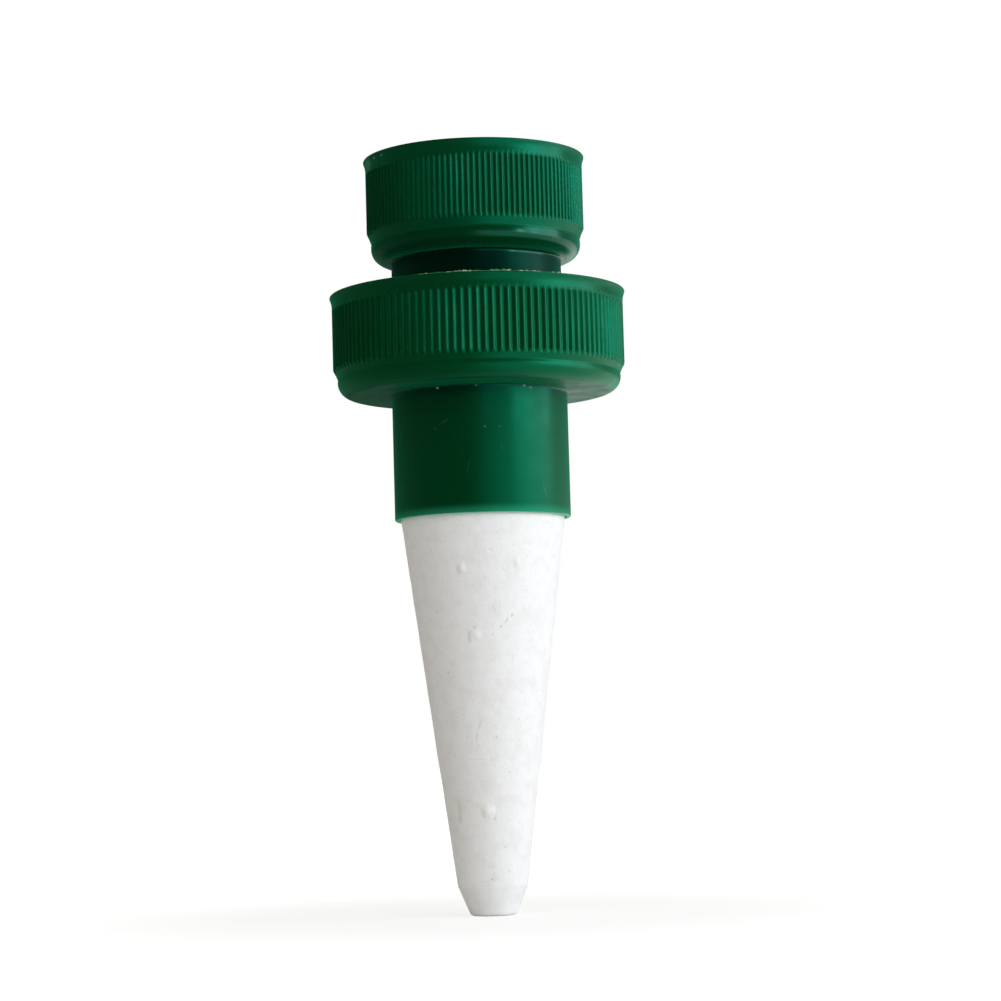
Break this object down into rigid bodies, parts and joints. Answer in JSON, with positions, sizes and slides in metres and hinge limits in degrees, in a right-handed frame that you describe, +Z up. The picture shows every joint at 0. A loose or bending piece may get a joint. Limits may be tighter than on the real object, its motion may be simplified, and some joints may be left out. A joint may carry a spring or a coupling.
{
  "type": "self watering spike",
  "caption": "Hollow porous ceramic cone in a sleeved, knurled socket for a wide bottle, with a screw-in reducer whose smaller knurled socket takes a narrow bottle; it waters a pot slowly.",
  "frame": {"origin": "on the axis at the sleeve's lower lip, which is the level of the soil when the cone is pushed in", "axes": "+Z up along the common axis, from the cone's nose to the mouth of the small socket; X and Y are alike"},
  "size_m": [0.0412, 0.0412, 0.1045],
  "materials": {
    "ceramic": "unglazed, porous and matte",
    "green_plastic": "moulded, satin to semi-gloss",
    "seal_rubber": "soft and matte"
  },
  "bodies": {
    "spike": {"ceramic_cone": "ceramic", "cone_seal_ring": "seal_rubber", "large_bottle_socket": "green_plastic", "large_seal_washer": "seal_rubber"},
    "small_washer": {"small_seal_washer": "seal_rubber"},
    "reducer": {"small_bottle_reducer": "green_plastic"}
  },
  "joints": [
    {"name": "reducer_lift", "type": "slide", "parent": "spike", "child": "small_washer", "axis": [0, 0, 1], "range_m": [0, 0.008]},
    {"name": "reducer_turn", "type": "hinge", "parent": "small_washer", "child": "reducer", "pos_m": [0, 0, 0.0203], "axis": [0, 0, 1], "range_deg": [0, 720]}
  ],
  "couplings": [
    {"joint": "reducer_lift", "follows": "reducer_turn", "m_per_rad": 0.0006366}
  ]
}
